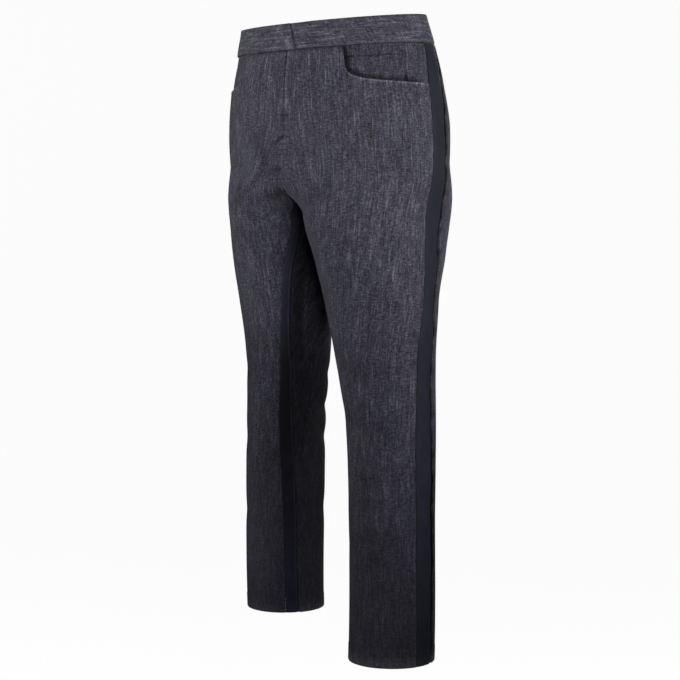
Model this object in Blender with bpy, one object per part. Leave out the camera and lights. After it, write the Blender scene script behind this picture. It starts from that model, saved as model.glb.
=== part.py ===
"""Slim fit jeans, worn shape with no wearer: denim panels with dark stripes down the side and inside seams.

Metres, +Z up. The origin is the middle of the waist's top edge, the wearer faces -Y, and the wearer's left is +X.
Each half of the garment is a row of level sections. A section is an oval round the leg's own middle, measured by
the angle round the leg: 0 at the front, 90 at the outer side, 180 at the back and -90 at the inner side. Above
the crotch the two ovals run into each other and each is cut off at the middle plane, which gives the U of the
crotch seam. Every panel is a stretch of that surface, so neighbouring edges stay parallel and SEAM_GAP apart.
"""

import math

import bmesh
import bpy
import numpy as np

CLOTH = 0.0014  # thickness of the denim and of the stripes
SEAM_GAP = 0.0003
BAND_DEPTH = 0.040
HEM_LEFT = 0.890  # drop from the waist to the hem
HEM_RIGHT = 0.882  # the relaxed leg ends a little higher
SIDE_STRIPE_WIDTH = 0.032
INSEAM_STRIPE_WIDTH = 0.019

# Drops at which the two ovals start to part, and where the legs are separate.
RISE_START = 0.205
CROTCH = 0.279
RISE_POWER = 1.5  # how late the crotch seam starts to curve
FORK_FORWARD = -0.035  # the crotch point lies this far forward of the leg's middle
FORK_END = 0.50  # drop at which the leg's sections are even again

# The waist is higher at the back and at the wearer's left, and this fades out at WAIST_TILT_END.
BACK_RISE = 0.09
LEFT_RISE = 0.018
WAIST_TILT_END = 0.22
WAIST_TILT_POWER = 1.5
LEAN = 0.0075  # the hips and legs stand this far to the wearer's left of the waist
LEAN_START = 0.15

# One row for each section. Metres: how far the outer side and the inner side stand from the middle plane, and the
# depth to the front and to the back. Degrees: the stance swings the left leg forward and the right leg back, the
# right leg is turned out, and the last two are the front edges of the side stripe and of the inseam stripe.
COLUMNS = ("drop", "outer", "apart", "front", "back", "swing", "turn_out", "side", "inseam")
SECTIONS = (
    (0.000, 0.150, 0.000, 0.100, 0.106, 0.0, 0.0, 95.0, -56.0),
    (0.040, 0.159, 0.000, 0.104, 0.120, 0.0, 0.0, 94.0, -56.0),
    (0.090, 0.170, 0.000, 0.113, 0.128, 0.0, 0.0, 89.0, -56.0),
    (0.150, 0.178, 0.000, 0.116, 0.134, 0.0, 0.0, 86.0, -56.0),
    (0.210, 0.180, 0.000, 0.117, 0.136, 3.5, 0.0, 91.0, -56.0),
    (CROTCH, 0.169, 0.000, 0.109, 0.124, 8.0, 0.0, 96.0, -56.0),
    (0.340, 0.174, 0.009, 0.092, 0.102, 8.5, 11.0, 94.0, -56.0),
    (0.400, 0.182, 0.015, 0.076, 0.072, 8.5, 24.0, 87.0, -62.0),
    (0.480, 0.184, 0.028, 0.064, 0.063, 10.0, 35.0, 79.0, -71.5),
    (0.580, 0.190, 0.054, 0.058, 0.062, 13.0, 40.0, 80.0, -84.0),
    (0.700, 0.202, 0.078, 0.059, 0.061, 18.0, 40.0, 88.0, -95.0),
    (HEM_LEFT, 0.237, 0.117, 0.060, 0.059, 26.0, 40.0, 97.0, -106.0),
)

# Front pocket: degrees from the centre front, and how far the scooped edge drops below the waistband seam.
POCKET_COLUMNS = ("angle", "scoop")
POCKET = (
    (33.0, 0.000),
    (34.0, 0.024),
    (36.0, 0.036),
    (41.0, 0.044),
    (50.0, 0.049),
    (62.0, 0.052),
    (100.0, 0.058),
)
POCKET_SPREAD = 0.14  # the rows below the scoop are evened out over this drop
FACING_DEPTH = 0.075
FACING_REACH = 4.0  # degrees that the facing runs on under the panel and the stripe
FACING_TUCK = 0.008  # its top runs this far up behind the waistband
FACING_CLEAR = 0.0008

# Waistband ends, in metres along the band from the centre front: the right end laps over the left.
OVERLAP_TOP = 0.003
OVERLAP_BOTTOM = 0.014
UNDERLAP = 0.030
LAP_RAMP = 0.030
LAP_CLEAR = 0.0005

# Largest folds: which leg, where each starts and ends (drop, degrees), half its width, and its height.
FOLD_COLUMNS = ("side", "drop_0", "angle_0", "drop_1", "angle_1", "width", "height")
FOLDS = (
    (-1, 0.262, -42.0, 0.215, 22.0, 0.018, -0.0020),
    (1, 0.262, -42.0, 0.232, 16.0, 0.018, -0.0018),
    (1, 0.300, -40.0, 0.340, 10.0, 0.016, 0.0016),
    (-1, 0.300, 200.0, 0.330, 140.0, 0.012, -0.0030),
    (1, 0.296, 205.0, 0.322, 146.0, 0.012, -0.0028),
    (-1, 0.340, 210.0, 0.352, 158.0, 0.012, -0.0020),
    (1, 0.338, 214.0, 0.356, 160.0, 0.012, -0.0022),
    (1, 0.560, 150.0, 0.585, 215.0, 0.012, -0.0026),
    (-1, 0.545, 140.0, 0.575, 210.0, 0.012, -0.0030),
    (1, 0.600, 205.0, 0.625, 150.0, 0.012, -0.0018),
    (-1, 0.595, 215.0, 0.620, 155.0, 0.012, -0.0022),
)
FOLD_CLEAR = 0.030  # the folds fade out over this distance from the middle plane

# Rows of the panels. Over the rise of the crotch they follow the degrees at which the seam cuts the sections.
HIP_ROWS = 11
SEAM_REACHES = (18.0, 34.0, 46.0, 56.0, 69.0, 80.0)
THIGH_ROWS = 6
THIGH_END = 0.40
SHIN_ROWS = 14
# Under the crotch the back panel runs forward to the inseam stripe. Each extra row ends at this share of the
# way there, and runs this far below the crotch until it bends up to the seam after FORK_FROM degrees.
FORK_ROWS = ((0.5, 0.0015), (1.0, 0.003))
FORK_LAST = 0.005
FORK_LEVEL = 0.009  # from here down its rows are level again
FORK_FROM = 255.0
FORK_BEND = 3  # how late that bend comes
FRONT_SEGMENTS = 13
POCKET_CORNER = 4  # the pocket's rows that shape its front corner, where the panel's columns gather
BACK_SEGMENTS = 16
STRIPE_SEGMENTS = 2
FACING_ROWS = 5
FACING_SEGMENTS = 7
BAND_SEGMENTS = 60
DIFF_DROP = 0.0005  # steps for the surface's slopes
DIFF_ANGLE = 0.2
SHARP_ANGLE = 40.0

DENIM = {"color": (0.060, 0.056, 0.075, 1.0), "roughness": 0.9}
STRIPE = {"color": (0.018, 0.021, 0.030, 1.0), "roughness": 0.75}


def smooth_column(rows, columns, name):
    """One column of a table as a smooth function of its first column, with no overshoot between rows."""
    x = np.array([row[0] for row in rows])
    y = np.array([row[columns.index(name)] for row in rows], dtype=float)
    step = np.diff(x)
    slope = np.diff(y) / step
    tangent = np.zeros(len(x))
    tangent[0], tangent[-1] = slope[0], slope[-1]
    for i in range(1, len(x) - 1):
        if slope[i - 1] * slope[i] > 0.0:
            before, after = 2.0 * step[i] + step[i - 1], step[i] + 2.0 * step[i - 1]
            tangent[i] = (before + after) / (before / slope[i - 1] + after / slope[i])

    def value(at):
        at = min(max(at, x[0]), x[-1])
        i = min(int(np.searchsorted(x, at, side="right")) - 1, len(x) - 2)
        s = (at - x[i]) / step[i]
        start = (1.0 + 2.0 * s) * (1.0 - s) ** 2 * y[i] + s * (1.0 - s) ** 2 * step[i] * tangent[i]
        end = s * s * (3.0 - 2.0 * s) * y[i + 1] + s * s * (s - 1.0) * step[i] * tangent[i + 1]
        return float(start + end)

    return value


section = {name: smooth_column(SECTIONS, COLUMNS, name) for name in COLUMNS[1:]}
scoop = smooth_column(POCKET, POCKET_COLUMNS, "scoop")
folds = [dict(zip(FOLD_COLUMNS, row)) for row in FOLDS]


def hem_of(side):
    return HEM_LEFT if side > 0 else HEM_RIGHT


def parted(drop):
    """0 where the halves are one oval, 1 where the legs are separate."""
    share = min(max((drop - RISE_START) / (CROTCH - RISE_START), 0.0), 1.0)
    return math.sin(math.pi / 2.0 * share**RISE_POWER)


def fold_height(side, drop, angle, radius):
    """Sum of the folds' soft troughs and ridges at this place."""
    total = 0.0
    for fold in folds:
        if fold["side"] != side:
            continue
        # A fold behind the leg is also met from the front panel's inner edge, whose angles are negative.
        turn = 360.0 if angle < 0.0 and fold["angle_0"] > 90.0 else 0.0
        along = np.array(
            (fold["drop_1"] - fold["drop_0"], math.radians(fold["angle_1"] - fold["angle_0"]) * radius)
        )
        here = np.array((drop - fold["drop_0"], math.radians(angle + turn - fold["angle_0"]) * radius))
        length = float(np.linalg.norm(along))
        share = float(here @ along) / length**2
        off = abs(float(here[0] * along[1] - here[1] * along[0])) / length
        ends = math.exp(-((2.0 * share - 1.0) ** 4))
        total += fold["height"] * ends * math.exp(-((off / fold["width"]) ** 2))
    return total


def form(side, drop, angle):
    """The garment's outer surface: the point at this drop and this angle round the leg."""
    at = math.radians(angle)
    outer = section["outer"](drop)
    half = (outer - section["apart"](drop)) / (1.0 + parted(drop))
    middle = outer - half + SEAM_GAP / 2.0
    front, back = section["front"](drop), section["back"](drop)
    fork = FORK_FORWARD * min(max((FORK_END - drop) / (FORK_END - CROTCH), 0.0), 1.0)
    split = fork if math.sin(at) < 0.0 else 0.0
    depth = front + split if math.cos(at) > 0.0 else back - split
    clear = min(max((middle + half * math.sin(at)) / FOLD_CLEAR, 0.0), 1.0)
    fold = fold_height(side, drop, angle, 0.5 * (half + depth)) * clear * clear
    out = (half + fold) * math.sin(at)
    ahead = split - (depth + fold) * math.cos(at)
    if side < 0:
        turn = math.radians(section["turn_out"](drop))
        out, ahead = (
            out * math.cos(turn) - ahead * math.sin(turn),
            out * math.sin(turn) + ahead * math.cos(turn),
        )
    swing = math.radians(section["swing"](drop))
    across = side * (middle + out)
    x = across * math.cos(swing) + ahead * math.sin(swing)
    y = -across * math.sin(swing) + ahead * math.cos(swing)
    x += LEAN * min(drop / LEAN_START, 1.0)
    tilt = max(1.0 - drop / WAIST_TILT_END, 0.0) ** WAIST_TILT_POWER
    return np.array((x, y, -drop + tilt * (BACK_RISE * y + LEFT_RISE * x)))


def outward(side, drop, angle):
    down = form(side, drop + DIFF_DROP, angle) - form(side, drop - DIFF_DROP, angle)
    round_leg = form(side, drop, angle + DIFF_ANGLE) - form(side, drop, angle - DIFF_ANGLE)
    normal = np.cross(down, round_leg) * side
    return normal / np.linalg.norm(normal)


def degrees_for(side, drop, angle, length):
    """How many degrees round the leg this length of cloth takes up here."""
    step = np.linalg.norm(form(side, drop, angle + 1.0) - form(side, drop, angle - 1.0)) / 2.0
    return length / step


def centre_angle(drop, back):
    """Angle at which the section meets the middle plane, or the inner side below the crotch."""
    reach = math.degrees(math.asin(parted(drop)))
    return 180.0 + reach if back else -reach


def drop_at_centre(reach):
    """Drop at which the section's cut-off angle is this many degrees: the crotch seam's height there."""
    return RISE_START + (reach / 90.0) ** (1.0 / RISE_POWER) * (CROTCH - RISE_START)


def hip_drops():
    """Rows from the waistband seam to just above the crotch point."""
    top = list(np.linspace(BAND_DEPTH + SEAM_GAP, RISE_START, HIP_ROWS + 1))
    return top + [drop_at_centre(reach) for reach in SEAM_REACHES]


def leg_drops(side):
    """Rows from the crotch to the hem."""
    thigh = list(np.linspace(CROTCH, THIGH_END, THIGH_ROWS + 1))[1:-1]
    return [CROTCH, CROTCH + FORK_LEVEL] + thigh + list(np.linspace(THIGH_END, hem_of(side), SHIN_ROWS + 1))


def wall(name, grid, look, collection):
    """A piece of cloth through a grid of (side, drop, angle, offset), its inner face CLOTH further in."""
    rows, columns = len(grid), len(grid[0])
    mesh = bmesh.new()
    bmesh.ops.create_grid(mesh, x_segments=columns - 1, y_segments=rows - 1, size=1.0)
    inward = {}
    for vert in mesh.verts:
        i = int(round((vert.co.y + 1.0) / 2.0 * (rows - 1)))
        j = int(round((vert.co.x + 1.0) / 2.0 * (columns - 1)))
        side, drop, angle, offset = grid[i][j]
        normal = outward(side, drop, angle)
        vert.co = form(side, drop, angle) + normal * offset
        inward[vert.index] = -CLOTH * normal
    outer = list(mesh.verts)
    extruded = bmesh.ops.extrude_face_region(mesh, geom=mesh.faces[:], use_keep_orig=True)
    twins = [item for item in extruded["geom"] if isinstance(item, bmesh.types.BMVert)]
    for twin in twins:
        nearest = min(outer, key=lambda vert: (vert.co - twin.co).length_squared)
        twin.co += type(twin.co)(inward[nearest.index])
    bmesh.ops.recalc_face_normals(mesh, faces=mesh.faces[:])
    data = bpy.data.meshes.new(name)
    mesh.to_mesh(data)
    mesh.free()
    data.materials.append(look)
    data.shade_smooth()
    data.set_sharp_from_angle(angle=math.radians(SHARP_ANGLE))
    piece = bpy.data.objects.new(name, data)
    collection.objects.link(piece)
    return piece


def cloth_material(name, values):
    look = bpy.data.materials.new(name)
    look.use_nodes = True
    shader = look.node_tree.nodes["Principled BSDF"]
    shader.inputs["Base Color"].default_value = values["color"]
    shader.inputs["Roughness"].default_value = values["roughness"]
    shader.inputs["Metallic"].default_value = 0.0
    return look


def side_edges(side, drop):
    """Angles of the side stripe's front and back edge."""
    front = section["side"](drop)
    return front, front + degrees_for(side, drop, front, SIDE_STRIPE_WIDTH)


def inseam_edges(side, drop):
    """Angles of the inseam stripe's back and front edge."""
    front = section["inseam"](drop)
    return front - degrees_for(side, drop, front, INSEAM_STRIPE_WIDTH), front


def gap_angle(side, drop, angle):
    return degrees_for(side, drop, angle, SEAM_GAP / 2.0)


def front_ends(side, drop):
    """Angles of the front panel's edges: the centre front or the inseam stripe, and the side stripe."""
    start = section["inseam"](drop)
    if drop > drop_at_centre(-section["inseam"](CROTCH)):
        start += gap_angle(side, drop, start)
    else:
        start = centre_angle(drop, back=False)
    end = section["side"](drop)
    return start, end - gap_angle(side, drop, end)


def front_angles(start, end, pocket_share):
    """Even steps, drawn towards the pocket's corners by pocket_share."""
    corners = [row[0] for row in POCKET[:POCKET_CORNER]]
    before = FRONT_SEGMENTS // 2 - 1
    after = FRONT_SEGMENTS - before - len(corners) + 1
    lead = np.linspace(start, corners[0], before + 1)
    rest = np.linspace(corners[-1], end, after + 1)
    kept = np.concatenate((lead, corners[1:-1], rest))
    even = np.linspace(start, end, FRONT_SEGMENTS + 1)
    return kept * pocket_share + even * (1.0 - pocket_share)


def front_row(side, drop):
    """One row of the front panel, lowered by the pocket's scoop."""
    share = max(1.0 - (drop - BAND_DEPTH) / POCKET_SPREAD, 0.0)
    row = []
    for j, angle in enumerate(front_angles(*front_ends(side, drop), share)):
        lowered = drop + scoop(angle) * share
        angle = front_angles(*front_ends(side, lowered), share)[j]
        row.append((side, lowered, angle, 0.0))
    return row


def front_grid(side):
    return [front_row(side, drop) for drop in hip_drops() + leg_drops(side)]


def back_row(side, drop, end, end_drop):
    """From the side stripe to the end angle, bending up to end_drop on the last stretch under the crotch."""
    start = side_edges(side, drop)[1]
    start += gap_angle(side, drop, start)
    row = []
    for angle in np.linspace(start, end, BACK_SEGMENTS + 1):
        share = min(max((angle - FORK_FROM) / (end - FORK_FROM), 0.0), 1.0) if end > FORK_FROM else 0.0
        row.append((side, drop + (end_drop - drop) * share**FORK_BEND, angle, 0.0))
    return row


def back_grid(side):
    """Down the centre back, forward under the crotch to the inseam stripe, then down the leg."""
    grid = [back_row(side, drop, centre_angle(drop, back=True), drop) for drop in hip_drops()]
    grid.append(back_row(side, CROTCH, centre_angle(CROTCH, back=True), CROTCH))
    last = 360.0 + inseam_edges(side, CROTCH)[0]
    last -= gap_angle(side, CROTCH, last)
    for share, below in FORK_ROWS:
        end = 270.0 + share * (last - 270.0)
        grid.append(back_row(side, CROTCH + below, end, drop_at_centre(360.0 - end)))
    for drop in leg_drops(side):
        end = 360.0 + inseam_edges(side, drop)[0]
        end -= gap_angle(side, drop, end)
        grid.append(back_row(side, max(drop, CROTCH + FORK_LAST), end, drop))
    return grid


def strip_row(side, drop, edges, seam_row=False):
    start, end = edges(side, drop)
    start += gap_angle(side, drop, start)
    end -= gap_angle(side, drop, end)
    angles = np.linspace(start, end, STRIPE_SEGMENTS + 1)
    return [(side, drop_at_centre(-angle) if seam_row else drop, angle, 0.0) for angle in angles]


def side_stripe_grid(side):
    return [strip_row(side, drop, side_edges) for drop in hip_drops() + leg_drops(side)]


def inseam_stripe_grid(side):
    """Its top is cut to the crotch seam."""
    seam_row = strip_row(side, CROTCH, inseam_edges, seam_row=True)
    return [seam_row] + [strip_row(side, drop, inseam_edges) for drop in leg_drops(side)]


def facing_grid(side):
    """The pocket's denim facing, behind the scooped opening."""
    grid = []
    offset = -(CLOTH + FACING_CLEAR)
    top, bottom = BAND_DEPTH - FACING_TUCK, BAND_DEPTH + FACING_DEPTH
    for drop in np.linspace(top, bottom, FACING_ROWS + 1):
        start = POCKET[0][0] - FACING_REACH
        end = section["side"](drop) + FACING_REACH
        angles = np.linspace(start, end, FACING_SEGMENTS + 1)
        grid.append([(side, drop, angle, offset) for angle in angles])
    return grid


def band_grid():
    """One strip round the waist. It starts under its own right end, which laps over the centre front."""
    per_degree = np.linalg.norm(form(1, 0.02, 1.0) - form(1, 0.02, 0.0))
    grid = []
    for drop in (0.0, BAND_DEPTH / 2.0, BAND_DEPTH - SEAM_GAP / 2.0):
        share = drop / BAND_DEPTH
        under = -UNDERLAP / per_degree
        over = 360.0 + (OVERLAP_TOP * (1.0 - share) + OVERLAP_BOTTOM * share) / per_degree
        row = []
        for turn in np.linspace(under, over, BAND_SEGMENTS + 1):
            ahead = turn * per_degree - OVERLAP_BOTTOM
            sunk = min(max(1.0 - ahead / LAP_RAMP, 0.0), 1.0)
            offset = -(CLOTH + LAP_CLEAR) * sunk * sunk * (3.0 - 2.0 * sunk)
            # The left half is measured forward and the right half backward from the centre front.
            if turn < 0.0:
                row.append((-1, drop, -turn, offset))
            elif turn <= 180.0:
                row.append((1, drop, turn, offset))
            elif turn <= 360.0:
                row.append((-1, drop, 360.0 - turn, offset))
            else:
                row.append((1, drop, turn - 360.0, offset))
        grid.append(row)
    return grid


def main():
    for old in list(bpy.data.objects):
        bpy.data.objects.remove(old)
    collection = bpy.data.collections.new("slim_fit_jeans")
    bpy.context.scene.collection.children.link(collection)
    denim = cloth_material("denim", DENIM)
    stripe = cloth_material("stripe", STRIPE)
    wall("waistband", band_grid(), denim, collection)
    for side, word in ((1, "left"), (-1, "right")):
        wall(f"front_{word}", front_grid(side), denim, collection)
        wall(f"back_{word}", back_grid(side), denim, collection)
        wall(f"pocket_facing_{word}", facing_grid(side), denim, collection)
        wall(f"side_stripe_{word}", side_stripe_grid(side), stripe, collection)
        wall(f"inseam_stripe_{word}", inseam_stripe_grid(side), stripe, collection)


main()
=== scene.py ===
"""Looks of the slim fit jeans: thin shells of slubby denim and ribbed stripe cloth on the solids' own form.

Metres, +Z up, the wearer faces -Y and the wearer's left is +X. The sections, seams and pocket have the
solids' sizes. A place on the garment is (side, drop, angle): side is 1 on the wearer's left and -1 on the
right, drop is the distance below the waist, and angle goes round the leg, 0 at the front, 90 at the outer
side, 180 at the back and -90 at the inner side.
"""

import math

import bpy
import numpy as np
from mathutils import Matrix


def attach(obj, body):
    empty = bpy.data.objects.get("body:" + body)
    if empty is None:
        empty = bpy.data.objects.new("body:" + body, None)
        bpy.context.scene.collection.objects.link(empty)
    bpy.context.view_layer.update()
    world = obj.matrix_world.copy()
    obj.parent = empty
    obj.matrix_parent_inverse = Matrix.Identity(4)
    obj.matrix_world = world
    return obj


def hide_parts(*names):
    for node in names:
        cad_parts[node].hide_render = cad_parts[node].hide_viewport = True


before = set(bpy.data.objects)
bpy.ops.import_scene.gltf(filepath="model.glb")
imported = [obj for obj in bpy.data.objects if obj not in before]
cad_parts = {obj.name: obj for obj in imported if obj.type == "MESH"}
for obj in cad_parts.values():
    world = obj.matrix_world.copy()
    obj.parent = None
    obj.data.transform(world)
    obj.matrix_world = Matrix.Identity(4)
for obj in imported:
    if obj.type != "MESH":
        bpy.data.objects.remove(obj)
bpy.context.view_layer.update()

# Sizes shared with the solids, but for the cloth, which is a tenth of a millimetre thinner.
CLOTH = 0.0013
SEAM_GAP = 0.0003
BAND_DEPTH = 0.040
HEM_LEFT = 0.890
HEM_RIGHT = 0.882
SIDE_STRIPE_WIDTH = 0.032
INSEAM_STRIPE_WIDTH = 0.019
RISE_START = 0.205
CROTCH = 0.279
RISE_POWER = 1.5
FORK_FORWARD = -0.035
FORK_END = 0.50
BACK_RISE = 0.09
LEFT_RISE = 0.018
WAIST_TILT_END = 0.22
WAIST_TILT_POWER = 1.5
LEAN = 0.0075
LEAN_START = 0.15

COLUMNS = ("drop", "outer", "apart", "front", "back", "swing", "turn_out", "side", "inseam")
SECTIONS = (
    (0.000, 0.150, 0.000, 0.100, 0.106, 0.0, 0.0, 95.0, -56.0),
    (0.040, 0.159, 0.000, 0.104, 0.120, 0.0, 0.0, 94.0, -56.0),
    (0.090, 0.170, 0.000, 0.113, 0.128, 0.0, 0.0, 89.0, -56.0),
    (0.150, 0.178, 0.000, 0.116, 0.134, 0.0, 0.0, 86.0, -56.0),
    (0.210, 0.180, 0.000, 0.117, 0.136, 3.5, 0.0, 91.0, -56.0),
    (CROTCH, 0.169, 0.000, 0.109, 0.124, 8.0, 0.0, 96.0, -56.0),
    (0.340, 0.174, 0.009, 0.092, 0.102, 8.5, 11.0, 94.0, -56.0),
    (0.400, 0.182, 0.015, 0.076, 0.072, 8.5, 24.0, 87.0, -62.0),
    (0.480, 0.184, 0.028, 0.064, 0.063, 10.0, 35.0, 79.0, -71.5),
    (0.580, 0.190, 0.054, 0.058, 0.062, 13.0, 40.0, 80.0, -84.0),
    (0.700, 0.202, 0.078, 0.059, 0.061, 18.0, 40.0, 88.0, -95.0),
    (HEM_LEFT, 0.237, 0.117, 0.060, 0.059, 26.0, 40.0, 97.0, -106.0),
)

POCKET_COLUMNS = ("angle", "scoop")
POCKET = (
    (33.0, 0.000),
    (34.0, 0.024),
    (36.0, 0.036),
    (41.0, 0.044),
    (50.0, 0.049),
    (62.0, 0.052),
    (100.0, 0.058),
)
POCKET_SPREAD = 0.14
FACING_DEPTH = 0.075
FACING_REACH = 4.0
FACING_TUCK = 0.008
FACING_CLEAR = 0.0008

OVERLAP_TOP = 0.003
OVERLAP_BOTTOM = 0.014
UNDERLAP = 0.030
LAP_RAMP = 0.030
LAP_CLEAR = 0.0005

# The largest folds, which the solids have too: where each starts and ends, half its width and its height. A
# smaller crease also says how far it bows sideways, as a share of its length.
LINE_COLUMNS = ("side", "drop_0", "angle_0", "drop_1", "angle_1", "width", "height", "bow")
FOLDS = (
    (-1, 0.262, -42.0, 0.215, 22.0, 0.018, -0.0020),
    (1, 0.262, -42.0, 0.232, 16.0, 0.018, -0.0018),
    (1, 0.300, -40.0, 0.340, 10.0, 0.016, 0.0016),
    (-1, 0.300, 200.0, 0.330, 140.0, 0.012, -0.0030),
    (1, 0.296, 205.0, 0.322, 146.0, 0.012, -0.0028),
    (-1, 0.340, 210.0, 0.352, 158.0, 0.012, -0.0020),
    (1, 0.338, 214.0, 0.356, 160.0, 0.012, -0.0022),
    (1, 0.560, 150.0, 0.585, 215.0, 0.012, -0.0026),
    (-1, 0.545, 140.0, 0.575, 210.0, 0.012, -0.0030),
    (1, 0.600, 205.0, 0.625, 150.0, 0.012, -0.0018),
    (-1, 0.595, 215.0, 0.620, 155.0, 0.012, -0.0022),
)
FOLD_CLEAR = 0.030

# Smaller creases of the cloth's own, in the same columns.
CREASES = (
    (1, 0.105, 12.0, 0.145, 34.0, 0.0040, -0.0014, -0.10),
    (1, 0.145, 34.0, 0.206, 37.0, 0.0050, -0.0008, 0.04),
    (-1, 0.178, 7.0, 0.160, -3.5, 0.0024, -0.0040, 0.0),
    (-1, 0.148, 26.0, 0.236, 3.0, 0.0080, -0.0022, 0.06),
    (-1, 0.232, 26.0, 0.262, 2.0, 0.0080, -0.0020, 0.08),
    (-1, 0.208, 52.0, 0.210, 26.0, 0.0040, -0.0010, 0.06),
    (-1, 0.262, 30.0, 0.290, -30.0, 0.0080, -0.0014, 0.08),
    (1, 0.226, 24.0, 0.268, -30.0, 0.0080, -0.0010, -0.08),
    (-1, 0.300, 20.0, 0.325, -35.0, 0.0120, -0.0010, 0.05),
    (1, 0.360, 30.0, 0.400, -20.0, 0.0140, -0.0009, 0.05),
    (1, 0.470, -35.0, 0.500, 40.0, 0.0160, -0.0014, 0.10),
    (1, 0.555, -50.0, 0.600, 60.0, 0.0180, -0.0018, -0.08),
    (1, 0.640, 60.0, 0.665, -30.0, 0.0140, -0.0012, 0.06),
    (1, 0.698, 70.0, 0.690, -20.0, 0.0130, 0.0014, 0.03),
    (1, 0.728, 72.0, 0.735, -30.0, 0.0150, -0.0016, 0.05),
    (1, 0.790, 60.0, 0.800, 0.0, 0.0150, -0.0010, 0.05),
    (-1, 0.500, 30.0, 0.520, -30.0, 0.0150, -0.0012, 0.08),
    (-1, 0.590, -30.0, 0.640, 60.0, 0.0160, -0.0014, 0.06),
    (-1, 0.700, 40.0, 0.730, -40.0, 0.0160, -0.0012, -0.06),
    (1, 0.430, 200.0, 0.450, 150.0, 0.0120, -0.0016, 0.08),
    (-1, 0.440, 150.0, 0.470, 215.0, 0.0120, -0.0016, -0.08),
    (1, 0.520, 140.0, 0.540, 220.0, 0.0100, -0.0018, 0.08),
    (-1, 0.510, 215.0, 0.530, 145.0, 0.0100, -0.0018, 0.06),
    (1, 0.690, 150.0, 0.715, 220.0, 0.0140, -0.0014, 0.08),
    (-1, 0.700, 215.0, 0.740, 150.0, 0.0140, -0.0014, 0.06),
    (1, 0.110, 120.0, 0.150, 170.0, 0.0140, -0.0010, 0.08),
    (-1, 0.115, 125.0, 0.160, 172.0, 0.0140, -0.0010, -0.06),
)

# How far the side stripe's rear seam strays backward as it was sewn.
REAR_SEAM_COLUMNS = ("drop", "stray")
REAR_SEAM = (
    (0.040, 0.0050),
    (0.090, 0.0035),
    (0.120, 0.0010),
    (0.160, -0.0020),
    (0.200, 0.0010),
    (0.230, 0.0060),
    (0.262, 0.0065),
    (0.284, 0.0050),
    (0.306, 0.0010),
    (0.326, -0.0010),
    (0.348, 0.0025),
    (0.368, -0.0035),
    (0.390, -0.0070),
    (0.408, -0.0060),
    (0.430, -0.0020),
    (0.460, 0.0010),
    (0.492, -0.0040),
    (0.534, -0.0045),
    (0.580, -0.0015),
    (0.640, 0.0005),
    (0.690, -0.0015),
    (0.750, 0.0010),
    (0.820, -0.0010),
)
REAR_SEAM_SHIFT = 0.030  # the right leg's seam strays in the same way, further down

# How far the inseam stripe's front seam lies behind the solids' own.
INSEAM_COLUMNS = ("drop", "stray")
INSEAM_SEAM = (
    (CROTCH, 0.0000),
    (0.300, 0.0030),
    (0.340, 0.0055),
    (0.400, 0.0070),
    (0.440, 0.0060),
    (0.480, 0.0030),
    (0.540, 0.0010),
    (0.600, 0.0000),
)

# Painted shade of the inner leg, where the other leg shadows it, and painted light near the hem: of the
# stripe, of the back panel beside it and further back. A minus is lighter.
INNER_COLUMNS = ("drop", "stripe", "beside", "further")
INNER_SHADE = (
    (0.290, 0.20, 0.45, -0.10),
    (0.325, -0.35, 0.60, -0.50),
    (0.350, -0.25, 0.65, -0.60),
    (0.400, 0.10, 0.74, -0.50),
    (0.460, 0.30, 0.74, -0.30),
    (0.500, 0.62, 0.68, 0.40),
    (0.550, 0.66, 0.64, 0.70),
    (0.610, 0.56, 0.52, 0.70),
    (0.660, 0.32, 0.32, 0.62),
    (0.705, 0.20, 0.22, 0.60),
    (0.750, -0.15, 0.14, 0.52),
    (0.790, -0.75, 0.00, 0.36),
    (0.840, -1.30, -0.15, 0.12),
)

# Soft patches of painted shade and painted light: half their length down the leg and width round it. A minus
# is lighter.
PAINTED_PATCH_COLUMNS = ("side", "drop", "angle", "along", "across", "shade")
PAINTED_PATCHES = (
    (1, 0.230, 0.0, 0.050, 0.035, 0.14),
    (1, 0.300, -25.0, 0.070, 0.030, 0.14),
    (1, 0.440, -42.0, 0.080, 0.030, 0.12),
    (1, 0.677, 10.0, 0.012, 0.025, 0.20),
    (1, 0.750, 30.0, 0.014, 0.035, 0.20),
    (1, 0.700, 20.0, 0.120, 0.080, 0.10),
    (1, 0.393, 59.0, 0.120, 0.020, -0.14),
    (1, 0.620, 60.0, 0.140, 0.022, -0.18),
    (1, 0.130, 45.0, 0.040, 0.030, -0.10),
    (-1, 0.160, 12.0, 0.014, 0.007, 0.24),
    (-1, 0.214, -1.0, 0.0060, 0.010, 0.62),
    (-1, 0.246, -32.0, 0.009, 0.022, 0.60),
    (-1, 0.205, 0.0, 0.060, 0.050, 0.14),
    (-1, 0.490, -30.0, 0.055, 0.100, 0.34),
    (-1, 0.600, 0.0, 0.060, 0.090, 0.10),
    (1, 0.500, 0.0, 0.070, 0.080, 0.12),
    (-1, 0.620, -70.0, 0.080, 0.030, 0.26),
    (-1, 0.815, -40.0, 0.070, 0.090, -0.50),
)

# Marks of painted highlight and painted shade on the waistband: how far behind the lap's end, their slant
# across the band, half width and shade.
BAND_MARK_COLUMNS = ("behind", "slant", "width", "shade")
BAND_MARKS = (
    (0.006, 0.5, 0.0030, -0.45),
    (0.016, -0.7, 0.0040, -0.38),
    (0.027, 0.6, 0.0035, -0.45),
    (0.036, -0.5, 0.0030, 0.12),
    (0.058, 0.1, 0.0018, 0.48),
    (0.066, 0.3, 0.0040, 0.12),
    (-0.020, -0.6, 0.0050, -0.12),
    (-0.045, 0.7, 0.0060, 0.10),
    (-0.080, -0.5, 0.0060, -0.10),
)
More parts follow.
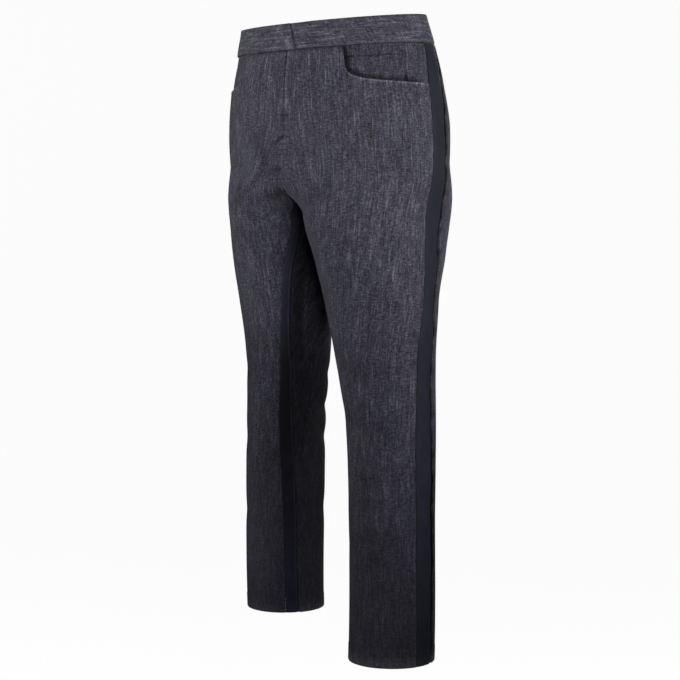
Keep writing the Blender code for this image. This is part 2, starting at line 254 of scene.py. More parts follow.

# Painted shade along an edge of a piece, where its seam lies in shadow: how far in it lies, half its width,
# and how dark it is. A minus is lighter, as on the inseam stripe's light line, partly a painted highlight on
# the seam's ridge.
EDGE_COLUMNS = ("piece", "edge", "place", "width", "shade")
EDGE_SHADES = (
    ("front", "last", 0.0, 0.0016, 0.30),
    ("back", "first", 0.0, 0.0028, 0.70),
    ("back", "first", 0.0, 0.0300, 0.22),
    ("back", "last", 0.0, 0.0012, 0.35),
    ("side_stripe", "first", 0.0, 0.0010, 0.25),
    ("side_stripe", "last", 0.0, 0.0040, 0.65),
    ("inseam_stripe", "first", 0.0008, 0.0007, -2.00),
    ("inseam_stripe", "last", 0.0, 0.0012, 0.20),
)
LIGHTEST = 2.2  # the most that a seam's light line lifts the stripe's colour

# Puckers that a seam draws along an edge of a piece.
PUCKER_COLUMNS = ("piece", "edge", "seed", "height", "reach", "period")
PUCKERS = (
    ("front", "last", 1.7, 0.0004, 0.012, 0.030),
    ("front", "first", 0.4, 0.0004, 0.010, 0.026),
    ("back", "first", 2.6, 0.0009, 0.012, 0.054),
    ("back", "last", 0.9, 0.0005, 0.010, 0.028),
    ("side_stripe", "last", 2.6, 0.0007, 0.010, 0.054),
)

# Fineness of the shells.
ROW_STEP = 0.0036
FRONT_ROW_STEP = 0.0026
FRONT_COLUMNS = 84
BACK_COLUMNS = 58
SIDE_STRIPE_COLUMNS = 8
INSEAM_STRIPE_COLUMNS = 6
FACING_ROWS = 56
FACING_COLUMNS = 90
BAND_ROW_STEP = 0.0035
BAND_COLUMNS = 260
BAND_ENDS = (0.0, 0.25, 0.60, 1.20)  # degrees from each end of the band to its first columns
EDGE_STEPS = (0.0, 0.0007, 0.0016, 0.0030, 0.0050, 0.0080)
EDGE_SHARE = 0.02  # on a narrow piece, the edge's columns are at most this share of its width apart
ARC_SAMPLES = 48
REACH_STEP = 3.5  # over the crotch's rise the rows follow the degrees at which the seam cuts the sections
REACH_END = 89.0
# Under the crotch the back panel runs forward to the inseam stripe in a few rows that bend up to the seam.
FORK_ROWS = 5
FORK_BELOW = 0.003
FORK_LAST = 0.005
FORK_FROM = 255.0
DIFF_DROP = 0.0005  # steps for the surface's slopes
DIFF_ANGLE = 0.2

# Seams and edges.
SHELL_GAP = 0.00004  # between two shells that a seam joins
CENTRE_OVERLAP = 0.00005  # how far each half runs past the middle plane, so that the centre seams are closed
JOINED_WIDTH = 0.004  # how far from the centre seams the halves are held together
INNER_JOINED = 0.85  # the inner face gives way a little, so that the wall keeps some thickness
SEAM_VALLEY = 0.0008  # how far a seam draws the cloth in, and how wide
SEAM_VALLEY_WIDTH = 0.0026
REAR_VALLEY = 0.0016
TOP_VALLEY_WIDTH = 0.0040
POCKET_LIP = 0.0004  # how far the pocket's edge stands out
ROLL = 0.45 * CLOTH  # how far a rolled edge sinks
ROLL_WIDTH = 0.0006
CENTRE_FADE = 0.130  # below this drop the centre front seam lies nearly flat
CENTRE_FADE_OVER = 0.05
CENTRE_LEAST = 0.25
CENTRE_IN_LEG = 0.6
HEM_TURN = 0.022
HEM_THICKER = 0.0004
HEM_LIGHT = 1.3
HEM_LIGHT_WIDTH = 0.012

# The curved seam that holds the fly, with light streaks along it, and the fly's edge.
FLY_WIDTH = 0.029
FLY_DROP = 0.165
FLY_STREAK_DROP = 0.130
FLY_FADE = 0.02
FLY_GROOVE = 0.0005
FLY_LINE = 0.0016

# Lines on the front: painted shadow along the centre seam and in the seam under the waistband, and the
# pocket's edge, lighter from wear and from a painted highlight.
CENTRE_SHADE = 0.30
CENTRE_LINE = 0.0014
POCKET_LIGHT = 1.3
POCKET_LIGHT_PLACE = 0.0010
POCKET_LIGHT_WIDTH = 0.0013
TOP_SHADE = 0.5
TOP_LINE = 0.0018

CREASE_SHADE = 0.13  # painted shade in a trough for each millimetre of its depth
CREASE_DEPTHS = (-0.5, 4.0)  # millimetres, past which that darkness stays the same
BEHIND_ANGLE = 120.0  # a fold that starts past this angle is behind the leg

# Wide soft painted shade of the back panel and of the side stripe, and a painted highlight on the inner
# thigh.
HIP_SHADE = 0.50  # behind the side stripe, from the waist down
HIP_SHADE_WIDTH = 0.035
HIP_SHADE_END = 0.36
HIP_SHADE_OVER = 0.30
MOTTLE = 0.28
MOTTLE_PLACE = 0.008
MOTTLE_PERIOD = 0.029
BESIDE_WIDTH = 0.032
FURTHER_PLACE = 0.095
FURTHER_WIDTH = 0.062
THIGH_HIGHLIGHT = 0.45  # a painted highlight down the inner thigh, beside the inseam stripe
THIGH_HIGHLIGHT_PLACE = 0.024
THIGH_HIGHLIGHT_WIDTH = 0.0022
THIGH_HIGHLIGHT_DROP = 0.43
THIGH_HIGHLIGHT_LENGTH = 0.07
STRIPE_SHADE = 0.40  # of the side stripe, down to the calf
STRIPE_SHADE_END = 0.62
STRIPE_SHADE_OVER = 0.12
STRIPE_LIGHT = 0.18

# The facing sinks into the shadow of the pocket's edge, and painted shade darkens it: all over, where the
# pocket gapes, at a dark upright mark and along a crease.
FACING_SUNK = 0.0003
FACING_SHADE = 0.10
GAPE = 0.0030
GAPE_SHADE = 0.62
GAPE_HEIGHT = 0.007
GAPE_RAGGED = 0.002
GAPE_SIDE = 0.8
GAPE_SIDE_WIDTH = 0.008
GAPE_END = 82.0  # degrees, where the gape ends, and over how many it fades
GAPE_FADE = 4.0
POCKET_RADIUS = 0.13
MARK_ANGLE = 70.0  # a dark upright mark of painted shadow above the edge
MARK_WIDTH = 0.9
MARK_HEIGHT = 0.018
MARK_SHADE = 0.75
FACING_CREASE_DROP = 0.0150  # a crease across the facing, below the waistband
FACING_CREASE_WIDTH = 0.0011
FACING_CREASE_END = 64.0
FACING_CREASE = 0.0006
FACING_CREASE_SHADE = 0.50
FACING_DARKEST = 0.9
FAR_FACING = 0.3  # share of the shade on the wearer's right, where the pocket lies closed

# The waistband.
LAP_THICKER = 0.0005  # the lap's end stands out a little
LAP_THICKER_WIDTH = 0.010
BAND_WAVE = 0.0004
BAND_SEAM_SHADE = 0.75
BAND_SEAM_LIGHT = 0.25
BAND_SEAM_LIGHT_PLACE = 0.0034
LAP_SHADE = 0.3


def smooth_column(rows, columns, name):
    """One column of a table as a smooth function of its first column, with no overshoot between rows."""
    x = np.array([row[0] for row in rows])
    y = np.array([row[columns.index(name)] for row in rows], dtype=float)
    step = np.diff(x)
    slope = np.diff(y) / step
    tangent = np.zeros(len(x))
    tangent[0], tangent[-1] = slope[0], slope[-1]
    for i in range(1, len(x) - 1):
        if slope[i - 1] * slope[i] > 0.0:
            before, after = 2.0 * step[i] + step[i - 1], step[i] + 2.0 * step[i - 1]
            tangent[i] = (before + after) / (before / slope[i - 1] + after / slope[i])

    def value(at):
        at = np.clip(at, x[0], x[-1])
        i = np.clip(np.searchsorted(x, at, side="right") - 1, 0, len(x) - 2)
        s = (at - x[i]) / step[i]
        start = (1.0 + 2.0 * s) * (1.0 - s) ** 2 * y[i] + s * (1.0 - s) ** 2 * step[i] * tangent[i]
        end = s * s * (3.0 - 2.0 * s) * y[i + 1] + s * s * (s - 1.0) * step[i] * tangent[i + 1]
        return start + end

    return value


section = {name: smooth_column(SECTIONS, COLUMNS, name) for name in COLUMNS[1:]}
scoop = smooth_column(POCKET, POCKET_COLUMNS, "scoop")
rear_stray = smooth_column(REAR_SEAM, REAR_SEAM_COLUMNS, "stray")
inseam_stray = smooth_column(INSEAM_SEAM, INSEAM_COLUMNS, "stray")
inner_stripe = smooth_column(INNER_SHADE, INNER_COLUMNS, "stripe")
inner_beside = smooth_column(INNER_SHADE, INNER_COLUMNS, "beside")
inner_further = smooth_column(INNER_SHADE, INNER_COLUMNS, "further")

# --- marks and waves


def line(distance, place, width):
    """1 along a line at this distance from an edge, fading out over its width."""
    return np.exp(-(((distance - place) / width) ** 2))


def patch(distance, place, width):
    """As line(), but flatter in the middle and with shorter ends."""
    return np.exp(-(((distance - place) / width) ** 4))


def ramp_down(value, end, over):
    """1 well below the end, falling evenly to 0 at it."""
    return np.clip((end - value) / over, 0.0, 1.0)


def wander(places, seed, period):
    """A smooth uneven wave along a seam, from -1 to 1."""
    turn = 2.0 * np.pi * places / period
    return (
        0.6 * np.sin(turn + seed)
        + 0.3 * np.sin(1.73 * turn + 2.1 * seed)
        + 0.25 * np.sin(0.53 * turn + 3.7 * seed)
    )


def soft_lines(table, side, drop, angle, radius):
    """Sum of the table's soft troughs and ridges at these places."""
    total = np.zeros(np.broadcast(drop, angle).shape)
    for row in table:
        fold = dict(zip(LINE_COLUMNS, row))
        if fold["side"] != side:
            continue
        turn = np.where((angle < 0.0) & (fold["angle_0"] > BEHIND_ANGLE), 360.0, 0.0)
        along_drop = fold["drop_1"] - fold["drop_0"]
        along_arc = np.radians(fold["angle_1"] - fold["angle_0"]) * radius
        here_drop = drop - fold["drop_0"]
        here_arc = np.radians(angle + turn - fold["angle_0"]) * radius
        length = np.sqrt(along_drop**2 + along_arc**2)
        share = (here_drop * along_drop + here_arc * along_arc) / length**2
        off = (here_drop * along_arc - here_arc * along_drop) / length
        off = off - fold.get("bow", 0.0) * length * 4.0 * share * (1.0 - share)
        ends = np.exp(-((2.0 * np.clip(share, -2.0, 3.0) - 1.0) ** 4))
        total = total + fold["height"] * ends * np.exp(-((off / fold["width"]) ** 2))
    return total


def painted_patches(side, drop, angle, radius):
    """Sum of the patches of painted shade and painted light here."""
    total = np.zeros(np.broadcast(drop, angle).shape)
    for row in PAINTED_PATCHES:
        place = dict(zip(PAINTED_PATCH_COLUMNS, row))
        if place["side"] == side:
            down = (drop - place["drop"]) / place["along"]
            round_leg = np.radians(angle - place["angle"]) * radius / place["across"]
            total = total + place["shade"] * np.exp(-(down**2) - round_leg**2)
    return total


# --- garment's form


def parted(drop):
    """0 where the halves are one oval, 1 where the legs are separate."""
    share = np.clip((drop - RISE_START) / (CROTCH - RISE_START), 0.0, 1.0)
    return np.sin(np.pi / 2.0 * share**RISE_POWER)


def half_width(drop):
    """From the middle of the oval here to its side."""
    return (section["outer"](drop) - section["apart"](drop)) / (1.0 + parted(drop))


def form(side, drop, angle):
    """The garment's outer surface at these drops and angles."""
    at = np.radians(angle)
    half = half_width(drop)
    middle = section["outer"](drop) - half - CENTRE_OVERLAP
    front, back = section["front"](drop), section["back"](drop)
    fork = FORK_FORWARD * np.clip((FORK_END - drop) / (FORK_END - CROTCH), 0.0, 1.0)
    split = np.where(np.sin(at) < 0.0, fork, 0.0)
    depth = np.where(np.cos(at) > 0.0, front + split, back - split)
    clear = np.clip((middle + half * np.sin(at)) / FOLD_CLEAR, 0.0, 1.0)
    fold = soft_lines(FOLDS, side, drop, angle, 0.5 * (half + depth)) * clear * clear
    out = (half + fold) * np.sin(at)
    ahead = split - (depth + fold) * np.cos(at)
    if side < 0:
        turn = np.radians(section["turn_out"](drop))
        out, ahead = (
            out * np.cos(turn) - ahead * np.sin(turn),
            out * np.sin(turn) + ahead * np.cos(turn),
        )
    swing = np.radians(section["swing"](drop))
    across = side * (middle + out)
    x = across * np.cos(swing) + ahead * np.sin(swing)
    y = -across * np.sin(swing) + ahead * np.cos(swing)
    x = x + LEAN * np.minimum(drop / LEAN_START, 1.0)
    tilt = np.maximum(1.0 - drop / WAIST_TILT_END, 0.0) ** WAIST_TILT_POWER
    return np.stack((x, y, -drop + tilt * (BACK_RISE * y + LEFT_RISE * x)), axis=-1)


def across_middle(drop):
    """The direction square to the plane between the two halves."""
    swing = np.radians(section["swing"](drop))
    return np.stack((np.cos(swing), -np.sin(swing), np.zeros(swing.shape)), axis=-1)


def outward(side, drop, angle):
    down = form(side, drop + DIFF_DROP, angle) - form(side, drop - DIFF_DROP, angle)
    round_leg = form(side, drop, angle + DIFF_ANGLE) - form(side, drop, angle - DIFF_ANGLE)
    normal = np.cross(down, round_leg) * side
    return normal / np.linalg.norm(normal, axis=-1, keepdims=True)


def degrees_for(side, drop, angle, length):
    """How many degrees round the leg this length of cloth takes up here."""
    step = form(side, drop, angle + 1.0) - form(side, drop, angle - 1.0)
    return length / (np.linalg.norm(step, axis=-1) / 2.0)


def centre_angle(drop, back):
    reach = np.degrees(np.arcsin(parted(drop)))
    return 180.0 + reach if back else -reach


def drop_at_centre(reach):
    """Drop at which the section's cut-off angle is this many degrees: the crotch seam's height there."""
    return RISE_START + (reach / 90.0) ** (1.0 / RISE_POWER) * (CROTCH - RISE_START)


# --- rows of each piece


def fine_ends(low, high, step, at_low=True, at_high=True):
    """Places from low to high, closer together at the ends that are edges of the cloth."""
    start = [low + near for near in EDGE_STEPS] if at_low else [low]
    end = [high - near for near in EDGE_STEPS] if at_high else [high]
    count = max(int(round((end[-1] - start[-1]) / step)), 1)
    middle = np.linspace(start[-1], end[-1], count + 1)[1:-1]
    return np.concatenate((start, middle, end[::-1]))


def hip_drops(step=ROW_STEP):
    top = fine_ends(BAND_DEPTH + SEAM_GAP, RISE_START, step, at_high=False)
    return np.concatenate((top, drop_at_centre(np.arange(REACH_STEP, REACH_END, REACH_STEP))))


def leg_drops(side, step=ROW_STEP):
    return fine_ends(CROTCH, HEM_LEFT if side > 0 else HEM_RIGHT, step, at_low=False)


def spread(side, drop, start, end, columns):
    """Angles of points at even lengths of cloth from start to end, on one row, and the row's width."""
    angles = np.linspace(start, end, ARC_SAMPLES)
    steps = np.linalg.norm(np.diff(form(side, drop, angles), axis=0), axis=-1)
    arc = np.concatenate(([0.0], np.cumsum(steps)))
    width = arc[-1]
    near = [min(place, EDGE_SHARE * width * (k + 1)) for k, place in enumerate(EDGE_STEPS[1:])]
    inner = np.linspace(near[-1], width - near[-1], columns)
    places = np.concatenate(([0.0], near[:-1], inner, width - np.array(near[:-1][::-1]), [width]))
    return np.interp(places, arc, angles), places, width


def side_edges(side, drop):
    """Front and rear edge of the side stripe."""
    front = section["side"](drop)
    stray = rear_stray(drop if side > 0 else drop - REAR_SEAM_SHIFT)
    return front, front + degrees_for(side, drop, front, SIDE_STRIPE_WIDTH + stray)


def inseam_edges(side, drop):
    """Rear and front edge of the inseam stripe."""
    front = section["inseam"](drop)
    rear = front - degrees_for(side, drop, front, INSEAM_STRIPE_WIDTH)
    return rear, front - degrees_for(side, drop, front, inseam_stray(drop))


def half_gap(side, drop, angle):
    return degrees_for(side, drop, angle, SHELL_GAP / 2.0)


class Cloth:
    """Rows of places on the garment, and each place's distance from the piece's four edges.

    first and last are distances from the row's two ends, top and bottom from the first and the last row.
    """

    def __init__(self, side):
        self.side = side
        self.rows = []

    def add(self, drop, angles, places, width):
        drops = np.broadcast_to(drop, angles.shape)
        self.rows.append((drops, angles, places, np.full(angles.shape, width)))

    def done(self):
        self.drop, self.angle, self.first, self.width = (np.array(part) for part in zip(*self.rows))
        self.last = self.width - self.first
        self.points = form(self.side, self.drop, self.angle)
        down = np.linalg.norm(np.diff(self.points, axis=0), axis=-1)
        self.top = np.vstack((np.zeros((1, down.shape[1])), np.cumsum(down, axis=0)))
        self.bottom = self.top[-1] - self.top
        self.normal = outward(self.side, self.drop, self.angle)
        return self


def front_ends(side, drop):
    start = inseam_edges(side, drop)[1]
    if drop > drop_at_centre(-section["inseam"](CROTCH)):
        start = start + half_gap(side, drop, start)
    else:
        start = centre_angle(drop, back=False)
    end = section["side"](drop)
    return start, end - half_gap(side, drop, end)


def front_cloth(side):
    """From the centre front and inseam stripe to the side stripe. The top rows follow the pocket's scoop."""
    cloth = Cloth(side)
    for drop in np.concatenate((hip_drops(FRONT_ROW_STEP), leg_drops(side, FRONT_ROW_STEP))):
        start, end = front_ends(side, drop)
        angles, places, width = spread(side, drop, start, end, FRONT_COLUMNS)
        share = max(1.0 - (drop - BAND_DEPTH) / POCKET_SPREAD, 0.0)
        lowered = drop + scoop(angles) * share
        if share > 0.0:
            ends = np.array([front_ends(side, low) for low in lowered])
            angles = ends[:, 0] + (angles - start) * (ends[:, 1] - ends[:, 0]) / (end - start)
        cloth.add(lowered, angles, places, width)
    return cloth.done()


def back_cloth(side):
    """From the side stripe to the centre back and the inseam stripe, with rows that bend under the crotch."""
    cloth = Cloth(side)

    def row(drop, end, end_drop):
        start = side_edges(side, drop)[1]
        start = start + half_gap(side, drop, start)
        angles, places, width = spread(side, drop, start, end, BACK_COLUMNS)
        share = np.clip((angles - FORK_FROM) / max(end - FORK_FROM, 1.0), 0.0, 1.0)
        cloth.add(drop + (end_drop - drop) * share**3, angles, places, width)

    for drop in hip_drops():
        row(drop, centre_angle(drop, back=True), drop)
    inner = centre_angle(CROTCH, back=True)
    row(CROTCH, inner, CROTCH)
    last = 360.0 + inseam_edges(side, CROTCH)[0]
    last = last - half_gap(side, CROTCH, last)
    for share in np.linspace(0.0, 1.0, FORK_ROWS + 1)[1:]:
        end = inner + share * (last - inner)
        row(CROTCH + FORK_BELOW * share, end, drop_at_centre(360.0 - end))
    for drop in leg_drops(side):
        end = 360.0 + inseam_edges(side, drop)[0]
        end = end - half_gap(side, drop, end)
        row(max(drop, CROTCH + FORK_LAST), end, drop)
    return cloth.done()


def strip_cloth(side, drops, edges, columns, under_crotch=False):
    """A stripe between its two edges. Under the crotch its first rows run up to the crotch seam."""
    cloth = Cloth(side)
    for drop in drops:
        start, end = edges(side, drop)
        start = start + half_gap(side, drop, start)
        end = end - half_gap(side, drop, end)
        angles, places, width = spread(side, drop, start, end, columns)
        if under_crotch and drop == drops[0]:
            seam = drop_at_centre(-angles)
            for share in np.linspace(0.0, 1.0, FORK_ROWS + 1)[:-1]:
                cloth.add(seam + (drop - seam) * share, angles, places, width)
        cloth.add(drop, angles, places, width)
    return cloth.done()


def facing_cloth(side):
    cloth = Cloth(side)
    for drop in np.linspace(BAND_DEPTH - FACING_TUCK, BAND_DEPTH + FACING_DEPTH, FACING_ROWS):
        start = POCKET[0][0] - FACING_REACH
        end = section["side"](drop) + FACING_REACH
        angles, places, width = spread(side, drop, start, end, FACING_COLUMNS)
        cloth.add(drop, angles, places, width)
    return cloth.done()


def band_cloth():
    """All round the waist, from under the lap at the left to the lap's end, and how far it is sunk."""
    per_degree = float(np.linalg.norm(form(1, BAND_DEPTH / 2.0, 1.0) - form(1, BAND_DEPTH / 2.0, 0.0)))
    drops = fine_ends(0.0, BAND_DEPTH - SEAM_GAP / 2.0, BAND_ROW_STEP)
    under = -UNDERLAP / per_degree
    near = np.array(BAND_ENDS[:-1])
    rows = []
    for drop in drops:
        share = drop / BAND_DEPTH
        over = 360.0 + (OVERLAP_TOP * (1.0 - share) + OVERLAP_BOTTOM * share) / per_degree
        inner = np.linspace(under + BAND_ENDS[-1], over - BAND_ENDS[-1], BAND_COLUMNS)
        turns = np.concatenate((under + near, inner, over - near[::-1]))
        sunk = np.clip(1.0 - (turns * per_degree - OVERLAP_BOTTOM) / LAP_RAMP, 0.0, 1.0)
        lift = -(CLOTH + LAP_CLEAR) * sunk * sunk * (3.0 - 2.0 * sunk)
        right = (turns < 0.0) | ((turns > 180.0) & (turns <= 360.0))
        angles = np.abs((turns + 180.0) % 360.0 - 180.0)
        points = np.where(right[:, None], form(-1, drop, angles), form(1, drop, angles))
        normal = np.where(right[:, None], outward(-1, drop, angles), outward(1, drop, angles))
        rows.append((np.full(turns.shape, drop), angles, points, normal, lift))
    cloth = Cloth(0)
    cloth.drop, cloth.angle, cloth.points, cloth.normal, lift = (np.array(part) for part in zip(*rows))
    across = np.linalg.norm(np.diff(cloth.points, axis=1), axis=-1)
    cloth.first = np.hstack((np.zeros((len(drops), 1)), np.cumsum(across, axis=1)))
    cloth.width = np.repeat(cloth.first[:, -1:], cloth.first.shape[1], axis=1)
    cloth.last = cloth.width - cloth.first
    cloth.top = cloth.drop.copy()
    cloth.bottom = BAND_DEPTH - cloth.drop
    return cloth, lift


# --- shells


def dip(distance, depth, width):
    return -depth * line(distance, 0.0, width)


def rolled(*distances):
    """Sinks the last millimetre of the outer face, so that an edge is rolled and not sharp."""
    return sum(dip(distance, ROLL, ROLL_WIDTH) for distance in distances)


def puckered(cloth, piece):
    """The waves that this piece's seams draw into it."""
    total = 0.0
    for row in PUCKERS:
        wave = dict(zip(PUCKER_COLUMNS, row))
        if wave["piece"] == piece:
            height = wave["height"] * wander(cloth.top, wave["seed"] + cloth.side, wave["period"])
            total = total + height * line(getattr(cloth, wave["edge"]), 0.0, wave["reach"])
    return total


def edge_shades(cloth, piece):
    """The dark and light lines along this piece's edges, and the lighter hem."""
    total = -HEM_LIGHT * line(cloth.bottom, 0.0, HEM_LIGHT_WIDTH)
    for row in EDGE_SHADES:
        edge = dict(zip(EDGE_COLUMNS, row))
        if edge["piece"] == piece:
            total = total + edge["shade"] * line(getattr(cloth, edge["edge"]), edge["place"], edge["width"])
    return total


def grid_faces(outer, normal):
    """Faces of the outer grid, of the inner grid and of the wall round their border, all facing outward."""
    rows, columns = outer.shape[:2]
    count = rows * columns
    index = np.arange(count).reshape(rows, columns)
    corners = (index[:-1, :-1], index[1:, :-1], index[1:, 1:], index[:-1, 1:])
    faces = np.stack(corners, axis=-1).reshape(-1, 4)
    i, j = rows // 2, columns // 2
    facing = np.cross(outer[i + 1, j] - outer[i, j], outer[i, j + 1] - outer[i, j])
    if float(facing @ normal[i, j]) < 0.0:
        faces = faces[:, ::-1]
    border = np.concatenate((index[0, :], index[1:, -1], index[-1, -2::-1], index[-2:0:-1, 0]))
    following = np.roll(border, -1)
    wall = np.stack((border, following, following + count, border + count), axis=-1)
    points = outer.reshape(-1, 3)
    start, end = points[border[0]], points[border[1]]
    inward = np.cross(end - start, normal.reshape(-1, 3)[border[0]])
    if float(inward @ ((start + end) / 2.0 - outer[i, j])) > 0.0:
        wall = wall[:, ::-1]
    return np.concatenate((faces, faces[:, ::-1] + count, wall))


def shell(name, cloth, lift, look, shade, uv_shift=0.5, joined=0.0):
    """A closed thin shell: the outer face lifted off the form by lift, the inner face a cloth's thickness in.

    Where joined is 1, the cloth is sewn to the other half and nothing moves it away from the middle plane.
    """
    radius = half_width(cloth.drop)
    creases = soft_lines(CREASES, cloth.side, cloth.drop, cloth.angle, radius)
    # Painted shade in the creases' troughs, darker for deeper troughs.
    shade = shade + CREASE_SHADE * np.clip(-1000.0 * creases, *CREASE_DEPTHS)
    # Patches of painted shade and painted light.
    shade = shade + painted_patches(cloth.side, cloth.drop, cloth.angle, radius)
    outer = cloth.points + cloth.normal * (lift + creases)[..., None]
    inner = outer - cloth.normal * CLOTH
    across_seam = across_middle(cloth.drop)
    for face, share in ((outer, 1.0), (inner, INNER_JOINED)):
        aside = ((face - cloth.points) * across_seam).sum(axis=-1)
        face -= (share * joined * aside)[..., None] * across_seam
    points = np.concatenate((outer.reshape(-1, 3), inner.reshape(-1, 3)))
    mesh = bpy.data.meshes.new(name)
    mesh.from_pydata(points.tolist(), [], grid_faces(outer, cloth.normal).tolist())
    add_cloth_uv(mesh, cloth.first - cloth.width * uv_shift, cloth.top + cloth.drop[0])
    dark = shade.reshape(-1)
    values = mesh.attributes.new("shade", "FLOAT", "POINT")
    values.data.foreach_set("value", np.concatenate((dark, dark)).astype(np.float32))
    mesh.materials.append(look)
    mesh.shade_smooth()
    mesh.validate()
    piece = bpy.data.objects.new(name, mesh)
    bpy.context.scene.collection.objects.link(piece)
    return piece


def add_cloth_uv(mesh, across, down):
    """The weave's own metres across and down the piece, the same on both faces."""
    pair = np.stack((across, down), axis=-1).reshape(-1, 2)
    pair = np.concatenate((pair, pair))
    corners = np.empty(len(mesh.loops), np.int32)
    mesh.loops.foreach_get("vertex_index", corners)
    layer = mesh.uv_layers.new(name="cloth")
    layer.data.foreach_set("uv", pair[corners].astype(np.float32).ravel())


# --- materials

# Noises of the denim, in blobs per metre across and down the cloth, each cut off at low and high.
DENIM_NOISES = (
    # name, across, down, seed, detail, roughness, low, high, weight
    ("long slub", 430.0, 28.0, 1.3, 1.5, 0.5, 0.54, 0.78, 0.36),
    ("short slub", 500.0, 120.0, 4.7, 1.5, 0.5, 0.48, 0.80, 0.26),
    ("warp", 460.0, 40.0, 7.7, 1.5, 0.5, 0.25, 0.75, 0.30),
    ("fine", 480.0, 340.0, 9.1, 2.5, 0.7, 0.25, 0.75, 0.62),
    ("weft", 130.0, 640.0, 6.2, 1.5, 0.6, 0.25, 0.75, 0.40),
    ("patch", 60.0, 24.0, 2.9, 3.0, 0.6, 0.00, 1.00, 0.34),
)
DENIM_SPAN = (0.42, 1.46)  # the mixed noises' darkest and lightest
MIDDLE_TONE = 0.43
CALM_DROPS = (0.50, 0.85)  # the flecks are fainter towards the hem
CALM_SHARE = 0.55
DENIM_COLOURS = (
    (0.0, (0.0060, 0.0058, 0.0080)),
    (0.40, (0.0400, 0.0388, 0.0535)),
    (0.70, (0.0860, 0.0840, 0.1110)),
    (1.0, (0.1700, 0.1670, 0.2060)),
)
DENIM_HUES = (
    (0.35, (0.985, 1.00, 1.03)),
    (0.65, (1.025, 1.00, 0.97)),
)
STRIPE_COLOURS = (
    (0.0, (0.0080, 0.0090, 0.0162)),
    (1.0, (0.0180, 0.0198, 0.0330)),
)
TWILL_TURN = 7000.0  # radians of the twill's wave for each metre
TWILL_SLANT = 0.6
RIB = 0.0021
DENIM_BUMP = 0.00022
STRIPE_BUMP = 0.00018
BUMP_STRENGTH = 0.7


class Nodes:
    """Short calls for a material's node tree."""

    def __init__(self, name):
        self.material = bpy.data.materials.new(name)
        self.material.use_nodes = True
        self.tree = self.material.node_tree
        self.shader = self.tree.nodes["Principled BSDF"]

    def make(self, kind, **settings):
        node = self.tree.nodes.new(kind)
        for key, value in settings.items():
            setattr(node, key, value)
        return node

    def link(self, source, target):
        self.tree.links.new(source, target)

    def math(self, operation, first, second=None):
        node = self.make("ShaderNodeMath", operation=operation)
        for socket, value in zip(node.inputs, (first, second)):
            if isinstance(value, (int, float)):
                socket.default_value = value
            elif value is not None:
                self.link(value, socket)
        return node.outputs[0]

    def cloth_uv(self):
        node = self.make("ShaderNodeUVMap", uv_map="cloth")
        split = self.make("ShaderNodeSeparateXYZ")
        self.link(node.outputs[0], split.inputs[0])
        return split.outputs[0], split.outputs[1]

    def noise(self, across, down, scale_across, scale_down, seed, detail=2.0, rough=0.5):
        """Noise stretched along the cloth: scales are blobs per metre across and down."""
        place = self.make("ShaderNodeCombineXYZ")
        self.link(self.math("MULTIPLY", across, scale_across), place.inputs[0])
        self.link(self.math("MULTIPLY", down, scale_down), place.inputs[1])
        place.inputs[2].default_value = seed
        node = self.make("ShaderNodeTexNoise")
        self.link(place.outputs[0], node.inputs["Vector"])
        node.inputs["Scale"].default_value = 1.0
        node.inputs["Detail"].default_value = detail
        node.inputs["Roughness"].default_value = rough
        return node.outputs[0]

    def span(self, value, low, high, to_low=0.0, to_high=1.0):
        node = self.make("ShaderNodeMapRange", clamp=True)
        self.link(value, node.inputs[0])
        for socket, number in zip(node.inputs[1:5], (low, high, to_low, to_high)):
            socket.default_value = number
        return node.outputs[0]

    def ramp(self, value, stops):
        node = self.make("ShaderNodeValToRGB")
        elements = node.color_ramp.elements
        while len(elements) < len(stops):
            elements.new(0.5)
        for element, (place, colour) in zip(elements, stops):
            element.position = place
            element.color = (*colour, 1.0)
        self.link(value, node.inputs[0])
        return node.outputs[0]

    def times(self, colour, factor, operation="SCALE", socket="Scale"):
        node = self.make("ShaderNodeVectorMath", operation=operation)
        self.link(colour, node.inputs[0])
        self.link(factor, node.inputs[socket])
        return node.outputs[0]

    def unshaded(self):
        """What the mesh's shade leaves of the colour."""
        shade = self.make("ShaderNodeAttribute", attribute_name="shade")
        return self.math("SUBTRACT", 1.0, shade.outputs["Fac"])

    def bump(self, height, distance):
        node = self.make("ShaderNodeBump")
        node.inputs["Distance"].default_value = distance
        node.inputs["Strength"].default_value = BUMP_STRENGTH
        self.link(height, node.inputs["Height"])
        self.link(node.outputs[0], self.shader.inputs["Normal"])


